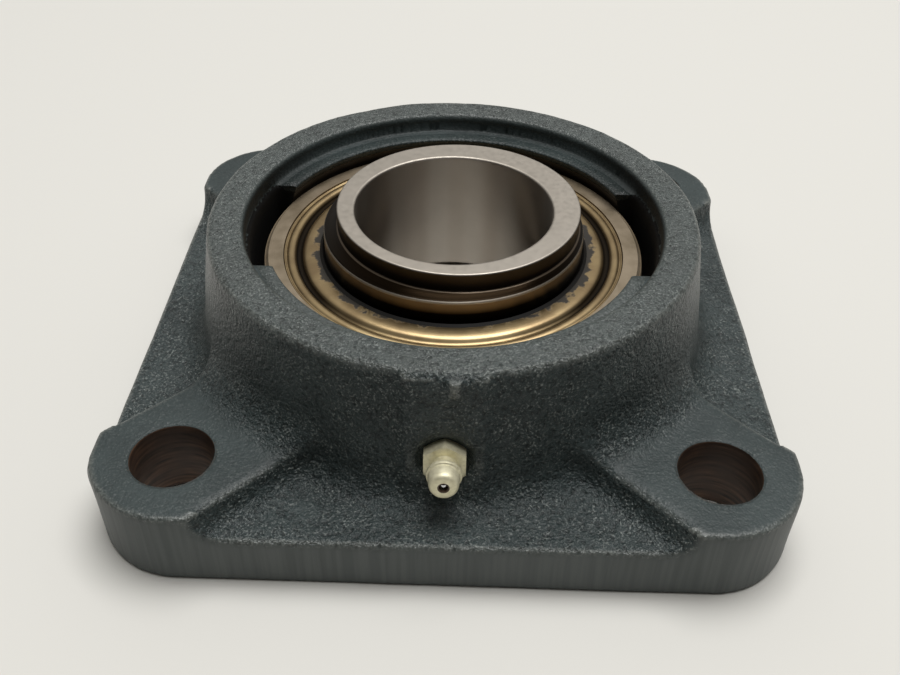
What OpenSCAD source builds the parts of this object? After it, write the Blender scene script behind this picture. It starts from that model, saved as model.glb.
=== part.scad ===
// Square four-bolt flange bearing unit: a cast housing with a spherical seat, a self-aligning
// ball bearing insert with an eccentric locking cam, and a straight grease nipple.
// The origin is the middle of the back face, +Z points out along the shaft, the nipple faces -Y.

/* [Flange] */
// Spacing of the bolt holes along X and along Y
bolt_spacing = 105; // [100:0.5:112]
// Diameter of the bolt holes
bolt_hole_d = 16; // [12:0.5:18]
// Distance from a bolt hole's centre to the flange's sides
bolt_edge = 16; // [14:0.25:19]
// Corner radius of the flange outline
flange_corner_r = 18; // [12:0.5:20]
// Thickness of the flange edge between the bosses
flange_edge_t = 11.5; // [9:0.25:13]
// Height of the bolt bosses above the back face
boss_h = 17; // [15.5:0.25:19]
// Width of each diagonal bolt boss
boss_w = 31; // [26:0.5:34]
// Radius of a scoop's inner corners, seen from above
scoop_corner_r = 14; // [8:0.5:16]
// Fillet between a scoop's floor and its walls
scoop_fillet_r = 4.5; // [2.5:0.25:5]

/* [Hub] */
// Height of the spherical seat's centre above the back face
seat_h = 22.5; // [21:0.25:26]
// How far the seat reaches past each face of the outer ring
seat_cover = 4; // [2:0.25:5]
// Gap between the seat and the outer ring
seat_clearance = 0.05; // [0.03:0.01:0.1]
// Depth of the recess inside the rim
recess_depth = 4.4; // [2.5:0.1:6]
// Step from the seat's radius out to the recess wall
recess_step = 2.55; // [2:0.05:4]
// Thickness of the rim's wall
rim_wall = 7.8; // [6:0.1:9]
// Widening of the hub from the rim down to the flange edge
hub_draft = 4.2; // [2:0.1:6]
// Rounding of the rim's outer edge
rim_round_r = 1; // [0.6:0.1:2]
// Chamfer on the rim's inner edge
rim_chamfer = 0.4; // [0.3:0.1:1]
// Fillet between the bosses and the hub
hub_fillet_r = 9; // [5:0.25:9.5]
// Fillet between the scoops' floors and the hub
hub_foot_r = 7; // [4:0.25:8]
// Step from the seat's edge out to the opening in the back face
back_step = 1.2; // [0.5:0.1:3]
// Width of the two loading slots
slot_w = 32; // [22:0.5:34]
// Step from the seat's radius out to the slots' end walls
slot_step = 1.85; // [1.3:0.05:1.95]
// Depth of the slots' floors below the seat's centre
slot_drop = 1.5; // [0.5:0.25:4]
// Width of the grease groove round the seat
groove_w = 7; // [6:0.25:8]
// Depth of the grease groove
groove_depth = 1.2; // [0.6:0.1:1.6]
// Width of the flat pad under the grease nipple
pad_w = 15.5; // [12:0.5:20]
// How far the pad stands out of the hub's wall
pad_proud = 0.8; // [0.4:0.1:1.5]
// Drop from the rim's top to the top of the pad
pad_drop = 0.3; // [0.2:0.05:0.6]
// Drop from the seat's centre to where the nipple's axis leaves the pad
nipple_drop = 1.2; // [0.5:0.1:1.5]
// Depth of the counterbore that the nipple's hexagon sits in
spot_depth = 2; // [1:0.1:2.5]
// Margin of the counterbore round the nipple's hexagon
spot_margin = 0.8; // [0.4:0.1:1.5]

/* [Insert bearing] */
// Diameter of the outer ring's spherical outside
insert_d = 85; // [82:0.25:88]
// Wall of the outer ring behind its raceway
outer_ring_wall = 3.55; // [3:0.05:4.5]
// Wall of the inner ring behind its raceway
inner_ring_wall = 4.61875; // [4:0.00125:6]
// Diameter of the shaft bore
bore_d = 42.8625; // [36:0.0125:45]
// How far the inner ring stands out behind the outer ring
inner_ring_back = 1.5; // [1:0.1:4]
// How far the inner ring stands out in front of the outer ring
inner_ring_front = 9.7; // [7.5:0.1:14]
// Height of the eccentric locking cam
cam_h = 4.3; // [3:0.1:6]
// Step from the inner ring's shoulder in to the cam
cam_step = 1.9; // [1.7:0.05:3]
// Offset of the cam's axis from the bore's axis
cam_offset = 1.6; // [0.6:0.05:1.7]
// Direction of the cam's offset, from +X towards +Y
cam_angle = 52; // [0:1:359]
// Chamfer on the ends of the bore and on the outer ring's edges
ring_chamfer = 0.7; // [0.3:0.05:0.9]
// Chamfer on the edges of the inner ring's shoulders
shoulder_chamfer = 0.5; // [0.2:0.05:0.6]
// Chamfer on the end of the cam
cam_chamfer = 0.35; // [0.2:0.05:0.6]
// Depth and height of the grinding relief at the foot of the cam
cam_relief = 0.4; // [0.2:0.05:0.6]
// Diameter of the grease holes in the outer ring
oil_hole_d = 1.5; // [1:0.1:2]

/* [Balls and cage] */
// Number of balls
ball_count = 10; // [7:1:10]
// Height of the raceways' shoulders as a share of the ball's diameter
shoulder_share = 0.177; // [0.15:0.001:0.2]
// Gap between a ball and the bottom of a raceway
race_clearance = 0.1; // [0.05:0.01:0.15]
// Raceway radius as a share of the ball's diameter
race_conformity = 0.52; // [0.515:0.001:0.53]
// Gap between a ball and its cage pocket
pocket_clearance = 0.12; // [0.08:0.01:0.2]
// Thickness of the cage's sheet
cage_t = 0.6; // [0.4:0.05:0.7]
// Width of the cage's band
cage_w = 3.8; // [3:0.1:4]
// Diameter of the cage rivets
rivet_d = 1.6; // [1.2:0.1:2]
// Diameter of the rivets' heads
rivet_head_d = 2.7; // [2.2:0.1:3]
// Height of the rivets' heads
rivet_head_h = 0.8; // [0.5:0.05:1]
// Gap between a rivet and its holes
rivet_clearance = 0.03; // [0.01:0.01:0.06]

/* [Seals] */
// Step from the outer ring's shoulder out to the seal seat
seal_step = 0.9; // [0.6:0.05:1.2]
// Gap between the cage and the seals
seal_gap = 0.23; // [0.15:0.01:0.5]
// Gap round the outside of the seal washers
seal_clearance = 0.05; // [0.02:0.01:0.1]
// Depth of the cap's face below the ring's face
cap_inset = 0.2; // [0.1:0.05:0.4]
// Thickness of the seal cap's sheet
cap_t = 0.4; // [0.3:0.05:0.5]
// Depth of the channel pressed into the cap
channel_depth = 0.8; // [0.5:0.05:1]
// Width of the channel at the cap's face
channel_w = 1.8; // [1.5:0.1:2.4]
// Lean of the channel's walls
channel_slope = 0.25; // [0.1:0.05:0.4]
// Thickness of the rubber seal washer
lip_t = 0.5; // [0.4:0.05:0.6]
// Gap between the seal lip and the inner ring
lip_clearance = 0.06; // [0.03:0.01:0.1]
// Width of the rubber that shows inside the cap
lip_w = 2.1; // [1.6:0.1:2.6]
// Thickness of the seal's backing washer
backing_t = 0.3; // [0.2:0.05:0.4]

/* [Grease nipple] */
// Width of the nipple's hexagon across its flats
nipple_af = 7.94; // [7:0.01:9]
// Height of the hexagon
nipple_hex_h = 3; // [2.5:0.1:4]
// Chamfer on the hexagon's corners
hex_chamfer = 0.4; // [0.2:0.05:0.6]
// Diameter of the screwed shank
nipple_shank_d = 6.35; // [5:0.05:7]
// Length of the screwed shank
nipple_shank_l = 5.4; // [4:0.1:6]
// Gap between the shank and its hole
nipple_clearance = 0.03; // [0.02:0.01:0.08]
// Diameter of the neck behind the head
nipple_neck_d = 4.8; // [4.4:0.1:5.2]
// Length of the neck
nipple_neck_l = 1.2; // [1:0.1:2]
// Largest diameter of the head
nipple_head_d = 6.6; // [6:0.1:7]
// Length of the head
nipple_head_l = 5; // [4.2:0.1:5.5]
// Height of the flare from the neck out to the head
nipple_flare_h = 1; // [0.8:0.1:1.4]
// Height of the head's cylindrical band
nipple_band_h = 1.2; // [0.6:0.1:1.4]
// Diameter of the face at the nipple's tip
nipple_tip_d = 4.2; // [3.6:0.1:4.6]
// Diameter of the hole in the tip
nipple_mouth_d = 1.6; // [1.2:0.1:1.8]
// Length of the hole in the tip
mouth_depth = 0.8; // [0.5:0.1:1]
// Diameter of the check ball
check_ball_d = 2.1; // [1.9:0.05:2.4]
// Gap round the check ball
check_clearance = 0.06; // [0.04:0.01:0.1]
// Diameter of the check spring's wire
spring_wire_d = 0.3; // [0.2:0.05:0.35]
// Turns of the check spring
spring_turns = 6; // [4:1:8]
// Height of the ring that holds the spring in
spring_seat_h = 0.8; // [0.5:0.1:1.2]
// Diameter of the hole in that ring
spring_seat_hole_d = 1.05; // [0.8:0.05:1.3]

/* [Hidden] */
$fn = 96;
slack = 1;
blend_bite = 0.1;
scoop_bite = 0.5;
arc_step = 15;
nose_steps = 5;
cutter_sides = 48;
wire_sides = 8;
coil_steps = 16;

flange_size = bolt_spacing + 2 * bolt_edge;

ball_d = (insert_d - bore_d) / 2 - outer_ring_wall - inner_ring_wall - 2 * race_clearance;
ball_r = ball_d / 2;
pitch_r = insert_d / 2 - outer_ring_wall - race_clearance - ball_r;
pocket_r = ball_r + pocket_clearance;
seal_floor = pocket_r + cage_t + seal_gap;
backing_top = seal_floor + backing_t;
lip_top = backing_top + lip_t;
cap_face = lip_top + cap_t + channel_depth;
face_h = cap_face + cap_inset;
outer_ring_w = 2 * face_h;
inner_ring_below = face_h + inner_ring_back;
inner_ring_above = face_h + inner_ring_front;

seat_r = insert_d / 2 + seat_clearance;
seat_reach = face_h + seat_cover;
seat_edge_r = sqrt(pow(seat_r, 2) - pow(seat_reach, 2));
ledge_h = seat_h + seat_reach;
hub_h = ledge_h + recess_depth;
recess_r = seat_r + recess_step;
hub_top_r = recess_r + rim_wall;
hub_lean = atan(hub_draft / (hub_h - flange_edge_t));
boss_fillet_top = boss_h + hub_fillet_r;
scoop_inner_r = hub_r(boss_fillet_top) - scoop_bite;
hub_low = flange_edge_t - slack;

race_r = race_conformity * ball_d;
race_depth = shoulder_share * ball_d;
inner_shoulder_r = pitch_r - ball_r + race_depth;
outer_shoulder_r = pitch_r + ball_r - race_depth;
inner_race_r = pitch_r - ball_r - race_clearance + race_r;
outer_race_r = pitch_r + ball_r + race_clearance - race_r;
cam_r = inner_shoulder_r - cam_step;
ball_step = 360 / ball_count;

seal_seat_r = outer_shoulder_r + seal_step;
cap_outer_r = seal_seat_r - seal_clearance;
cap_inner_r = inner_shoulder_r + lip_w;
channel_r = (cap_inner_r + seal_seat_r) / 2;
oil_hole_h = (seal_floor + sqrt(pow(race_r, 2) - pow(outer_shoulder_r - outer_race_r, 2))) / 2;

hex_r = nipple_af / sqrt(3);
spot_r = hex_r + spot_margin;
nipple_h = seat_h - nipple_drop;
nipple_face = hub_r(nipple_h) + pad_proud;
passage_l = (nipple_face - seat_r) / cos(hub_lean) - spot_depth + slack;
nipple_head_at = nipple_hex_h + nipple_neck_l;
nipple_l = nipple_head_at + nipple_head_l;
nose_in = (nipple_head_d - nipple_tip_d) / 2;
nose_h = nipple_head_l - nipple_flare_h - nipple_band_h;
nose_r = (pow(nose_in, 2) + pow(nose_h, 2)) / (2 * nose_in);
check_bore_r = check_ball_d / 2 + check_clearance;
check_ball_at = nipple_l - mouth_depth - check_clearance
    - sqrt(pow(check_ball_d, 2) - pow(nipple_mouth_d, 2)) / 2;
spring_seat_at = -nipple_shank_l;
spring_low = spring_seat_at + spring_seat_h;
spring_reach = (check_ball_d + spring_wire_d) / 2 + check_clearance;
spring_high = check_ball_at - sqrt(pow(spring_reach, 2) - pow(spring_coil_r(), 2));

BALLS = [for (i = [1:ball_count]) str("ball_", i < 10 ? "0" : "", i)];

// Radius of the hub's drafted wall at a height
function hub_r(z) = hub_top_r + hub_draft * (hub_h - z) / (hub_h - flange_edge_t);

// Radius of the check spring's coil, measured to the middle of its wire
function spring_coil_r() = check_ball_d / 2 - spring_wire_d / 2 - check_clearance;

module at_seat() {
    translate([0, 0, seat_h]) children();
}

module ring_of(count, r) {
    for (i = [0:count - 1])
        rotate([0, 0, i * 360 / count]) translate([r, 0, 0]) children();
}

module flange_outline() {
    inner = flange_size - 2 * flange_corner_r;
    square([inner, flange_size], center = true);
    square([flange_size, inner], center = true);
    for (x = [-1, 1], y = [-1, 1])
        translate([x * inner / 2, y * inner / 2]) circle(flange_corner_r);
}

// Round-nosed cutter that shapes a scoop, standing on its floor
module scoop_cutter() {
    edge = [scoop_corner_r - scoop_fillet_r, scoop_fillet_r];
    rotate_extrude($fn = cutter_sides) polygon(concat(
        [[0, 0]],
        [for (turn = [-90:arc_step:0]) edge + scoop_fillet_r * [cos(turn), sin(turn)]],
        [[scoop_corner_r, boss_fillet_top], [0, boss_fillet_top]]
    ));
}

// One scoop, centred on +X: the cutter's sweep between two bosses, with its back inside the hub
module scoop() {
    path_r = scoop_inner_r + scoop_corner_r;
    aside = boss_w / 2 + scoop_corner_r;
    start = sqrt(pow(path_r, 2) - pow(aside, 2));
    translate([0, 0, flange_edge_t]) hull() {
        for (side = [-1, 1], along = [start, start + flange_size / 2])
            rotate([0, 0, side * 45]) translate([along, -side * aside, 0]) scoop_cutter();
    }
}

// Fillet ring from a floor up into the hub's drafted wall, which bites a little into both
module hub_fillet(floor, r) {
    run = r * (1 - sin(hub_lean)) / cos(hub_lean);
    middle = [hub_r(floor) + run - blend_bite, floor + r - blend_bite];
    rotate_extrude() difference() {
        translate([recess_r, hub_low])
            square([middle[0] - recess_r, middle[1] - r * sin(hub_lean) - hub_low]);
        translate(middle) circle(r);
    }
}

module hub_body() {
    round_h = hub_h - rim_round_r;
    round_at = [hub_r(round_h) - rim_round_r, round_h];
    rotate_extrude() polygon(concat(
        [[0, hub_low], [hub_r(hub_low), hub_low]],
        [for (turn = [0:arc_step:90]) round_at + rim_round_r * [cos(turn), sin(turn)]],
        [[0, hub_h]]
    ));
}

// Flat pad that follows the hub's draft, with a chamfer under the rim's rounded edge
module nipple_pad() {
    inside = recess_r + rim_wall / 2;
    top = hub_h - pad_drop;
    bend = top - rim_round_r;
    translate([-pad_w / 2, 0, 0]) rotate([90, 0, 90]) linear_extrude(pad_w)
        polygon([
            [-inside, hub_low],
            [-hub_r(hub_low) - pad_proud, hub_low],
            [-hub_r(bend) - pad_proud, bend],
            [-hub_r(top) - pad_proud + rim_round_r, top],
            [-inside, top]
        ]);
}

// Everything that is turned, cut or drilled out of the casting round the shaft's axis
module seat_cavity() {
    intersection() {
        at_seat() sphere(seat_r);
        translate([0, 0, seat_h - seat_reach]) cylinder(r = seat_r + slack, h = 2 * seat_reach);
    }
    translate([0, 0, -slack])
        cylinder(r = seat_edge_r + back_step, h = seat_h - seat_reach + slack);
    translate([0, 0, ledge_h]) cylinder(r = recess_r, h = recess_depth + slack);
    translate([0, 0, hub_h - rim_chamfer])
        cylinder(r1 = recess_r, r2 = recess_r + rim_chamfer + slack, h = rim_chamfer + slack);
    intersection() {
        translate([0, 0, seat_h - slot_drop])
            cylinder(r = seat_r + slot_step, h = seat_reach + slot_drop + slack);
        translate([-insert_d, -slot_w / 2, 0]) cube([2 * insert_d, slot_w, hub_h]);
    }
    at_seat() translate([0, 0, -groove_w / 2]) cylinder(r = seat_r + groove_depth, h = groove_w);
}

// Places something that stands on z = 0 so that it stands square on the floor of the nipple's counterbore
module at_nipple() {
    translate([0, -nipple_face, nipple_h]) rotate([90 - hub_lean, 0, 0])
        translate([0, 0, -spot_depth]) children();
}

module nipple_hole() {
    at_nipple() {
        cylinder(r = spot_r, h = spot_depth + slack);
        translate([0, 0, -nipple_shank_l])
            cylinder(d = nipple_shank_d + 2 * nipple_clearance, h = nipple_shank_l + slack);
        translate([0, 0, -passage_l]) cylinder(r = check_bore_r + spring_wire_d, h = passage_l);
    }
}

module housing() {
    color("slategray") difference() {
        union() {
            difference() {
                union() {
                    linear_extrude(boss_h) flange_outline();
                    hub_fillet(boss_h, hub_fillet_r);
                }
                for (side = [0:3]) rotate([0, 0, 90 * side]) scoop();
            }
            hub_fillet(flange_edge_t, hub_foot_r);
            hub_body();
            nipple_pad();
        }
        seat_cavity();
        nipple_hole();
        for (x = [-1, 1], y = [-1, 1])
            translate([x * bolt_spacing / 2, y * bolt_spacing / 2, -slack])
                cylinder(d = bolt_hole_d, h = hub_h + 2 * slack);
    }
}

module outer_ring() {
    color("tan") at_seat() difference() {
        rotate_extrude() difference() {
            intersection() {
                circle(insert_d / 2);
                translate([outer_shoulder_r, -face_h]) square([insert_d, outer_ring_w]);
            }
            translate([outer_race_r, 0]) circle(race_r);
            for (end = [-1, 1]) {
                translate([0, end * (face_h + seal_floor) / 2])
                    square([2 * seal_seat_r, face_h - seal_floor], center = true);
                translate([sqrt(pow(insert_d / 2, 2) - pow(face_h, 2)), end * face_h])
                    rotate(45) square(ring_chamfer * sqrt(2), center = true);
            }
            translate([insert_d / 2, oil_hole_h / 2])
                square([2 * groove_depth, oil_hole_h + 2 * oil_hole_d], center = true);
        }
        for (side = [0, 180]) rotate([0, 90, side])
            translate([-oil_hole_h, 0, pitch_r]) cylinder(d = oil_hole_d, h = insert_d);
    }
}

module inner_ring() {
    shoulder_top = inner_ring_above - cam_h;
    shoulder_l = inner_ring_below + shoulder_top;
    color("silver") at_seat() difference() {
        union() {
            rotate_extrude() difference() {
                translate([0, -inner_ring_below]) square([inner_shoulder_r, shoulder_l]);
                translate([inner_race_r, 0]) circle(race_r);
                for (end = [-inner_ring_below, shoulder_top])
                    translate([inner_shoulder_r, end])
                        rotate(45) square(shoulder_chamfer * sqrt(2), center = true);
            }
            rotate([0, 0, cam_angle]) translate([cam_offset, 0, shoulder_top]) rotate_extrude() polygon([
                [0, -slack],
                [cam_r - cam_relief, -slack],
                [cam_r - cam_relief, cam_relief],
                [cam_r, cam_relief],
                [cam_r, cam_h - cam_chamfer],
                [cam_r - cam_chamfer, cam_h],
                [0, cam_h]
            ]);
        }
        translate([0, 0, -inner_ring_below - slack])
            cylinder(d = bore_d, h = inner_ring_below + inner_ring_above + 2 * slack);
        for (end = [[inner_ring_above, 0], [-inner_ring_below, 180]])
            translate([0, 0, end[0]]) rotate([end[1], 0, 0]) translate([0, 0, -ring_chamfer])
                cylinder(r1 = bore_d / 2, r2 = bore_d / 2 + ring_chamfer + slack, h = ring_chamfer + slack);
    }
}

module ball(i) {
    color("gainsboro") at_seat() rotate([0, 0, i * ball_step]) translate([pitch_r, 0, 0]) sphere(ball_r);
}

// Half of a ball pocket: a dome of sheet over the ball
module cage_pocket() {
    pocket_out = pocket_r + cage_t;
    rotate_extrude() intersection() {
        difference() {
            circle(pocket_out);
            circle(pocket_r);
        }
        translate([0, blend_bite]) square(pocket_out + slack);
    }
}

// Flat strip with a hole for each ball and each rivet, wider than the cage
module cage_strip() {
    difference() {
        cylinder(r = pitch_r + cage_w / 2 + slack, h = cage_t);
        ring_of(ball_count, pitch_r) translate([0, 0, -slack])
            cylinder(r = pocket_r + cage_t / 2, h = cage_t + 2 * slack);
        rotate([0, 0, ball_step / 2]) ring_of(ball_count, pitch_r) translate([0, 0, -slack])
            cylinder(d = rivet_d + 2 * rivet_clearance, h = cage_t + 2 * slack);
    }
}

// One half of the cage: the strip and its pockets, trimmed to the cage's width
module cage_half() {
    intersection() {
        union() {
            cage_strip();
            ring_of(ball_count, pitch_r) cage_pocket();
        }
        rotate_extrude() translate([pitch_r - cage_w / 2, -slack])
            square([cage_w, pocket_r + cage_t + 2 * slack]);
    }
}

module cage_front_half() {
    color("darkgoldenrod") at_seat() cage_half();
}

module cage_rear_half() {
    color("darkgoldenrod") at_seat() mirror([0, 0, 1]) cage_half();
}

module cage_rivets() {
    color("goldenrod") at_seat() rotate([0, 0, ball_step / 2]) ring_of(ball_count, pitch_r) {
        translate([0, 0, -cage_t]) cylinder(d = rivet_d, h = 2 * cage_t);
        for (end = [0, 180]) rotate([end, 0, 0]) translate([0, 0, cage_t])
            cylinder(d1 = rivet_head_d, d2 = rivet_d, h = rivet_head_h);
    }
}

// Pressed seal cap with a channel, as a strip of sheet turned round the axis
module seal_cap() {
    steps = [
        [cap_inner_r, 0],
        [channel_r - channel_w / 2, 0],
        [channel_r - channel_w / 2 + channel_slope, -channel_depth],
        [channel_r + channel_w / 2 - channel_slope, -channel_depth],
        [channel_r + channel_w / 2, 0],
        [cap_outer_r, 0]
    ];
    back = [for (i = [len(steps) - 1:-1:0]) steps[i] - [0, cap_t]];
    translate([0, 0, cap_face]) rotate_extrude() polygon(concat(steps, back));
}

// Rubber washer that is clamped under the cap, with a lip that turns out along the shoulder
module seal_lip() {
    lip_r = inner_shoulder_r + lip_clearance;
    heel_r = cap_inner_r - lip_t / 2;
    rotate_extrude() polygon([
        [lip_r, cap_face],
        [lip_r, lip_top],
        [lip_r + lip_t, backing_top],
        [cap_outer_r, backing_top],
        [cap_outer_r, lip_top],
        [heel_r, lip_top],
        [heel_r, cap_face - lip_t],
        [lip_r + lip_t, cap_face + lip_t]
    ]);
}

module seal_backing() {
    translate([0, 0, seal_floor]) rotate_extrude()
        translate([cap_inner_r, 0]) square([cap_outer_r - cap_inner_r, backing_t]);
}

module front_seal_cap() {
    color("burlywood") at_seat() seal_cap();
}

module front_seal_lip() {
    color("dimgray") at_seat() seal_lip();
}

module front_seal_backing() {
    color("burlywood") at_seat() seal_backing();
}

module rear_seal_cap() {
    color("burlywood") at_seat() mirror([0, 0, 1]) seal_cap();
}

module rear_seal_lip() {
    color("dimgray") at_seat() mirror([0, 0, 1]) seal_lip();
}

module rear_seal_backing() {
    color("burlywood") at_seat() mirror([0, 0, 1]) seal_backing();
}

module grease_nipple() {
    flare_at = nipple_head_at - blend_bite;
    band_at = nipple_head_at + nipple_flare_h;
    nose_at = [nipple_head_d / 2 - nose_r, band_at + nipple_band_h];
    nose = [
        for (i = [0:nose_steps])
            let (turn = asin(nose_h / nose_r) * i / nose_steps)
            nose_at + nose_r * [cos(turn), sin(turn)]
    ];
    color("palegoldenrod") at_nipple() difference() {
        union() {
            translate([0, 0, -nipple_shank_l])
                cylinder(d = nipple_shank_d, h = nipple_shank_l + slack);
            intersection() {
                rotate([0, 0, 90]) cylinder(r = hex_r, h = nipple_hex_h, $fn = 6);
                cylinder(
                    r1 = hex_r + nipple_hex_h - hex_chamfer,
                    r2 = hex_r - hex_chamfer,
                    h = nipple_hex_h
                );
            }
            cylinder(d = nipple_neck_d, h = nipple_head_at + slack);
            rotate_extrude() polygon(concat(
                [[0, flare_at], [nipple_neck_d / 2, flare_at], [nipple_head_d / 2, band_at]],
                nose,
                [[0, nipple_l]]
            ));
        }
        translate([0, 0, -nipple_shank_l - slack])
            cylinder(r = check_bore_r, h = nipple_l - mouth_depth + nipple_shank_l + slack);
        cylinder(d = nipple_mouth_d, h = nipple_l + slack);
    }
}

module nipple_check_ball() {
    color("silver") at_nipple() translate([0, 0, check_ball_at]) sphere(d = check_ball_d);
}

// Coil spring: rings of points across the wire, one after another along a helix
module nipple_spring() {
    rings = spring_turns * coil_steps;
    wire_r = spring_wire_d / 2;
    low = spring_low + wire_r;
    coil_r = spring_coil_r();
    points = [
        for (i = [0:rings], k = [0:wire_sides - 1])
            let (
                turn = 360 * i / coil_steps,
                across = 360 * k / wire_sides,
                r = coil_r + wire_r * cos(across)
            )
            [r * cos(turn), r * sin(turn), low + (spring_high - low) * i / rings + wire_r * sin(across)]
    ];
    walls = [
        for (i = [0:rings - 1], k = [0:wire_sides - 1])
            let (here = i * wire_sides, after = here + wire_sides, next = (k + 1) % wire_sides)
            [here + k, after + k, after + next, here + next]
    ];
    ends = [
        [for (k = [0:wire_sides - 1]) k],
        [for (k = [wire_sides - 1:-1:0]) rings * wire_sides + k]
    ];
    color("silver") at_nipple() polyhedron(points, concat(walls, ends));
}

module nipple_spring_seat() {
    color("darkkhaki") at_nipple() translate([0, 0, spring_seat_at]) difference() {
        cylinder(r = check_bore_r, h = spring_seat_h);
        translate([0, 0, -slack]) cylinder(d = spring_seat_hole_d, h = spring_seat_h + 2 * slack);
    }
}

housing();
outer_ring();
inner_ring();
for (i = [0:ball_count - 1]) {
    ball(i);
}
cage_front_half();
cage_rear_half();
cage_rivets();
front_seal_cap();
front_seal_lip();
front_seal_backing();
rear_seal_cap();
rear_seal_lip();
rear_seal_backing();
grease_nipple();
nipple_check_ball();
nipple_spring();
nipple_spring_seat();
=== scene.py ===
import math

import bmesh
import bpy
from mathutils import Matrix, Vector, noise


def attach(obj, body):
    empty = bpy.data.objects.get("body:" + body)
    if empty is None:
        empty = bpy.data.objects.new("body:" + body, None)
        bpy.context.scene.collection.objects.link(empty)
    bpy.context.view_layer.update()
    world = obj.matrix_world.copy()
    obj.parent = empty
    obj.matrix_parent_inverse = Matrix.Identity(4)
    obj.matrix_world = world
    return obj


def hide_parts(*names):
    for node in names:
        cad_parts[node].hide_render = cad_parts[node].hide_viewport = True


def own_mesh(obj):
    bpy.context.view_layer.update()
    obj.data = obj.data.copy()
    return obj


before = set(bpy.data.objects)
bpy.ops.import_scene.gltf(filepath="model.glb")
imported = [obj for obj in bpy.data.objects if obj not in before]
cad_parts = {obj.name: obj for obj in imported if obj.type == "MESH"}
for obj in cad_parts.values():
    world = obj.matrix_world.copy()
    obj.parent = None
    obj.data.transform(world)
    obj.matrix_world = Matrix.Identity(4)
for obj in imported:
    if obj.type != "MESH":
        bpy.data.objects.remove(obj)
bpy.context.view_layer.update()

# Housing: the square four-bolt flange with its hub, sand cast in grey iron and painted slate grey.
# Every cast edge is rounded and the skin keeps the grain of the sand, smoother on the boss tops.
# The seat, the recess, the bolt holes and the back face are machined, the flange's sides ground.
MM = 0.001
seat_centre = Vector((0, 0, 22.5 * MM))
seat_r = 42.55 * MM
seat_half = 14 * MM
recess_r = 45.1 * MM
ledge_h = 36 * MM
rim_h = 40.4 * MM
rim_edge_r = 1.5 * MM
slot_half = 16 * MM
slot_floor = 21 * MM
bolt_at = 52.5 * MM
bolt_r = 8 * MM
boss_h = 17 * MM
flange_half = 68.5 * MM
flange_corner_r = 18 * MM
corner_at = flange_half - flange_corner_r
hub_front = -50 * MM
parting_at = Vector((1.6, -53.1, 37.9)) * MM
parting_size = (2 * MM, 4.4 * MM, 3.6 * MM)
nick_at = Vector((-68.2, -55.4, 14)) * MM

cast = bmesh.new()
cast.from_mesh(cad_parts["housing"].data)
bmesh.ops.remove_doubles(cast, verts=cast.verts, dist=0.002 * MM)
parting_mark = bmesh.ops.create_cube(cast, size=1)["verts"]
bmesh.ops.scale(cast, verts=parting_mark, vec=parting_size)
bmesh.ops.translate(cast, verts=parting_mark, vec=parting_at)
casting = bpy.data.meshes.new("housing_casting")
cast.to_mesh(casting)
cast.free()
housing = bpy.data.objects.new("housing_casting", casting)
bpy.context.scene.collection.objects.link(housing)
skin = housing.modifiers.new("casting_skin", "REMESH")
skin.mode = "VOXEL"
skin.voxel_size = 0.62 * MM
evaluated = housing.evaluated_get(bpy.context.evaluated_depsgraph_get())
skin_mesh = bpy.data.meshes.new_from_object(evaluated)
housing.modifiers.clear()


def from_bolt(at):
    """How far a place lies from the axis of the bolt hole in its own corner."""
    return math.hypot(abs(at.x) - bolt_at, abs(at.y) - bolt_at)


def inside_edge(at):
    """How far a place lies inside the flange's outline with its round corners."""
    over = Vector((max(abs(at.x) - corner_at, 0), max(abs(at.y) - corner_at, 0)))
    return flange_corner_r - (over.length if min(over) > 0 else max(over))


def limited(value):
    """A share, held between none and all."""
    return max(0, min(1, value))


# The remeshed skin is sorted: what lies on a machined face goes back onto that face, and the cast
# rest is smoothed, most of all where the hub, the ridges and the scoops run into each other.
cast = bmesh.new()
cast.from_mesh(skin_mesh)
bpy.data.meshes.remove(skin_mesh)
sandy = cast.verts.layers.float.new("sandy")
ground = cast.verts.layers.float.new("ground_edge")
ridge = cast.verts.layers.float.new("ridge")
hole_skin, seat_skin, wall_skin = 0.35 * MM, 0.3 * MM, 0.4 * MM
blend_low, blend_high = 8 * MM, 39.2 * MM
soft, blends, holes, seat, wall = [], [], [], [], []
for vert in cast.verts:
    x, y, z = vert.co
    out = math.hypot(x, y)
    from_seat = (vert.co - seat_centre).length
    if abs(from_bolt(vert.co) - bolt_r) < hole_skin:
        holes.append(vert)
    elif abs(from_seat - seat_r) < seat_skin and abs(z - seat_centre.z) < seat_half:
        seat.append(vert)
    elif abs(out - recess_r) < wall_skin and ledge_h + 0.3 * MM < z < rim_h - rim_edge_r:
        wall.append(vert)
    else:
        soft.append(vert)
        on_slopes = blend_low < z < blend_high and out > recess_r + 3 * MM
        off_edges = inside_edge(vert.co) > 2.2 * MM and from_bolt(vert.co) > bolt_r + 2 * MM
        at_mark = (vert.co - parting_at).length < 3.5 * MM
        if on_slopes and off_edges and not at_mark:
            blends.append(vert)
soft_turns, blend_turns = 5, 14
for verts, turns in ((soft, soft_turns), (blends, blend_turns)):
    for turn in range(turns):
        bmesh.ops.smooth_vert(cast, verts=verts, factor=0.5,
                              use_axis_x=True, use_axis_y=True, use_axis_z=True)
for vert in holes:
    x, y, z = vert.co
    axis = Vector((math.copysign(bolt_at, x), math.copysign(bolt_at, y), z))
    vert.co = axis + (vert.co - axis).normalized() * (bolt_r + 0.1 * MM)
for vert in seat:
    vert.co = seat_centre + (vert.co - seat_centre).normalized() * (seat_r + 0.02 * MM)
for vert in wall:
    vert.co.x, vert.co.y = Vector((vert.co.x, vert.co.y)).normalized() * recess_r
behind_lip = 41.4 * MM
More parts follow.
